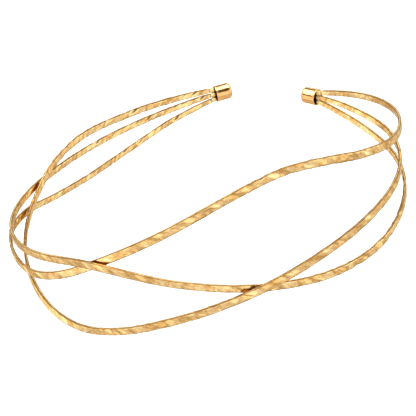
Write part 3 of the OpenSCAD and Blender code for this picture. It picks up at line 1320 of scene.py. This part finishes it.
@dataclass(frozen=True)
class Card:
    """Two white cards high up behind, left and right, measured as the overhead light is.

    from_side is how far from the middle they begin, as a slope.
    """

    low: float = 136.0
    high: float = 168.0
    from_side: float = 0.36
    light: float = 1.15
    soft: float = 4.0
    soft_side: float = 0.1


@dataclass
class Studio:
    """White board, a soft light overhead, two paler cards behind, lit bands all round, and the camera.

    The camera's angles, distance, scale and seen_at were fitted to the lines of the wires in the
    photograph. aim is the point that it is turned to, seen_at where that point shows in pixels, and
    scale the pixels to a millimetre there. dim and dim_behind are the unlit studio, and board is half
    the board's side in metres.
    """

    aim: tuple[float, float, float]
    azimuth: float = 27.043
    elevation: float = 28.637
    roll: float = -14.334
    distance: float = 604.73
    seen_at: tuple[float, float] = (201.93, 188.62)
    scale: float = 2.80834
    dim: float = 0.14
    dim_behind: float = 0.32
    bands: tuple[LitBand, ...] = (LitBand(-100.0, -21.0, 0.88, 0.9), LitBand(-21.0, 22.0, 1.55, 0.6, 9.0))
    overhead: Softbox = Softbox()
    card: Card = Card()
    board: float = 3.0

    def camera(self) -> bpy.types.Object:
        """Set the camera at the photograph's angle.

        Returns:
            The camera.
        """
        turn, lift, tip = radians(self.azimuth), radians(self.elevation), radians(self.roll)
        back = Vector((sin(turn) * cos(lift), -cos(turn) * cos(lift), sin(lift)))
        right = Vector((cos(turn), sin(turn), 0.0))
        up = back.cross(right)
        x, y = cos(tip) * right + sin(tip) * up, cos(tip) * up - sin(tip) * right
        lens = bpy.data.cameras.new("camera")
        lens.sensor_fit = "HORIZONTAL"
        lens.sensor_width = 36.0
        lens.lens = 36.0 * self.scale * self.distance / PHOTO_SIDE
        middle = (PHOTO_SIDE - 1) / 2
        lens.shift_x = (middle - self.seen_at[0]) / PHOTO_SIDE
        lens.shift_y = (self.seen_at[1] - middle) / PHOTO_SIDE
        lens.clip_start, lens.clip_end = 0.01, 20.0
        made = bpy.data.objects.new("camera", lens)
        bpy.context.scene.collection.objects.link(made)
        turned = Matrix((x, y, back)).transposed().to_4x4()
        turned.translation = (Vector(self.aim) + back * self.distance) * MM
        made.matrix_world = turned
        bpy.context.scene.camera = made
        return made

    def between(self, angle: Value, low: float, high: float, soft_low: float, soft_high: float) -> Value:
        """1 between two angles and 0 outside them, with a soft edge at each."""
        return angle.step(low - soft_low, low + soft_low) * angle.step(high + soft_high, high - soft_high)

    def light(self) -> None:
        """Light the scene from all round, with soft boxes set out from the camera's side."""
        world = bpy.data.worlds.new("studio")
        world.use_nodes = True
        world.node_tree.nodes.clear()
        bpy.context.scene.world = world
        sheet = NodeSheet(world.node_tree)
        way = sheet.node("ShaderNodeTexCoord").outputs["Generated"]
        turn = radians(self.azimuth)
        ahead = sheet.node("ShaderNodeVectorMath", {"operation": "DOT_PRODUCT"})
        sheet.feed(ahead.inputs[0], way)
        sheet.feed(ahead.inputs[1], (sin(turn), -cos(turn), 0.0))
        across = sheet.node("ShaderNodeVectorMath", {"operation": "DOT_PRODUCT"})
        sheet.feed(across.inputs[0], way)
        sheet.feed(across.inputs[1], (cos(turn), sin(turn), 0.0))
        front, side = Value(sheet, ahead.outputs["Value"]), Value(sheet, across.outputs["Value"])
        rise = sheet.xyz(way)[2]
        height = 90.0 - sheet.maths("ARCTAN2", front, rise) * (180.0 / pi)
        level = sheet.maths("ARCSINE", rise) * (180.0 / pi)
        beside = side / rise.most(0.02)
        behind = front.step(-0.5, -0.9)
        box, card = self.overhead, self.card
        dim = self.dim + (self.dim_behind - self.dim) * front.step(0.0, -0.4)
        lit = self.between(height, box.low, box.high, box.soft_low, box.soft)
        lit = lit * beside.size().step(box.half_side + box.soft_side, box.half_side - box.soft_side)
        glow = dim + lit * (box.light - dim)
        lit = self.between(height, card.low, card.high, card.soft, card.soft)
        lit = lit * beside.size().step(card.from_side - card.soft_side, card.from_side + card.soft_side)
        glow = glow + lit * (card.light - dim)
        for band in self.bands:
            lit = self.between(level, band.low, band.high, band.soft, band.soft_top)
            glow = glow + lit * (band.light * (1.0 - (1.0 - band.behind) * behind) - dim)
        glow = glow * (0.6 + 0.8 * sheet.noise(way, 6.0, 1.0, 0.5))
        white = (1.0, 0.99, 0.975, 1.0)
        back = sheet.node("ShaderNodeBackground", feeds={"Color": white, "Strength": glow})
        sheet.node("ShaderNodeOutputWorld", feeds={"Surface": back.outputs["Background"]})
        bpy.context.scene.view_settings.view_transform = "Standard"

    def floor(self) -> bpy.types.Object:
        """Lay the white board under the band.

        Returns:
            The board.
        """
        mesh = bpy.data.meshes.new("board")
        corners = [(x * self.board, y * self.board, 0.0) for x, y in ((-1, -1), (1, -1), (1, 1), (-1, 1))]
        mesh.from_pydata(corners, [], [(0, 1, 2, 3)])
        mesh.materials.append(PaleFloor().make())
        board = bpy.data.objects.new("board", mesh)
        bpy.context.scene.collection.objects.link(board)
        # The band mirrors the studio's lights below the board, not its plain white
        board.visible_glossy = False
        return board


LOW_BLOWS = strikes(
    (-180, 3.4, 2.3, 1), (-115, 3.4, 2.5, 1), (-95, 3.1, 1.2, 2), (-75, 3.0, 0.6, 7),
    (-60, 3.0, 0.5, 13), (-32, 3.1, 0.6, 13), (-15, 3.3, 1.2, 1), (10, 3.6, 1.9, -2),
    (38, 3.5, 1.2, 0), (60, 3.3, 1.0, 2), (95, 3.1, 1.0, 2), (110, 2.9, 0.7, -6),
    (122, 2.9, 0.7, -9), (180, 2.9, 0.8, -9),
)
MIDDLE_BLOWS = strikes(
    (-180, 3.3, 2.7, 0), (-115, 3.2, 2.4, 0), (-95, 3.1, 1.1, 1), (-40, 3.1, 0.7, 1),
    (10, 3.2, 0.8, -2), (24, 3.1, 1.2, 4), (38, 3.0, 2.3, 3), (85, 3.0, 2.2, 3),
    (105, 3.0, 1.0, 0), (122, 2.9, 0.8, -11), (180, 2.9, 0.8, -11),
)
UPPER_BLOWS = strikes(
    (-180, 3.3, 2.5, 3), (-140, 3.3, 2.5, 2), (-110, 3.1, 2.0, 0), (-30, 3.1, 0.8, 1),
    (-15, 3.1, 0.9, 6), (1, 3.3, 1.0, 5), (11, 3.3, 1.2, -1), (20, 3.4, 1.2, -3),
    (36, 3.3, 2.0, -1), (60, 3.2, 2.4, 1), (80, 3.2, 2.4, 2), (95, 3.1, 1.7, 1),
    (108, 3.1, 0.8, -2), (120, 3.0, 0.6, 0), (140, 2.9, 0.7, 2), (180, 2.9, 0.9, 3),
)


def main() -> None:
    """Build the headband and its studio."""
    logging.basicConfig(level=logging.INFO, format="%(name)s: %(message)s")
    plan = Plan()
    left_turn, right_turn = radians(plan.left_swing), radians(plan.right_swing)
    left_way = Vector((cos(left_turn), sin(left_turn), plan.left_rise)).normalized()
    right_way = Vector((-cos(right_turn), sin(right_turn), plan.right_rise)).normalized()
    left = Mouth(plan.follow(MIDDLE_ROWS, -plan.left_a)[0], left_way)
    right = Mouth(plan.follow(LOW_ROWS, plan.right_a)[0], right_way)
    plan = plan.set_down(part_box("left_end_cap"), left, EndCap.outer_d / 2 + EndCap.lip_h)
    studio = Studio(aim=plan.shift)
    studio.camera()
    press = HammerPress(Sheath())
    press.build()
    wire_finish, cap_finish = HammeredGold().make(), PolishedGold().make()
    wires = (
        HammeredWire("low_front_wire_hammered", "low_front_wire", LOW_ROWS, LOW_BLOWS,
                     Layer.TOP, Layer.MIDDLE, 3, plan, left, right, press, right_show=0.4),
        HammeredWire("middle_front_wire_hammered", "middle_front_wire", MIDDLE_ROWS, MIDDLE_BLOWS,
                     Layer.MIDDLE, Layer.BOTTOM, 140, plan, left, right, press, right_show=0.2),
        HammeredWire("upper_front_wire_hammered", "upper_front_wire", UPPER_ROWS, UPPER_BLOWS,
                     Layer.BOTTOM, Layer.TOP, 290, plan, left, right, press),
    )
    for wire in wires:
        others = [s.at for other in wires if other is not wire for s in other.path()[::2]]
        piece = wire.build(wire_finish, others)
        wire.dress(piece)
        log.info("%s: %d faces", piece.name, len(piece.data.polygons))
    for cap in (
        EndCap("left_end_cap_turned", "left_end_cap", left, plan),
        EndCap("right_end_cap_turned", "right_end_cap", right, plan),
    ):
        piece = cap.build(cap_finish)
        cap.dress(piece)
        log.info("%s: %d faces", piece.name, len(piece.data.polygons))
    studio.light()
    studio.floor()


if __name__ == "__main__":
    main()
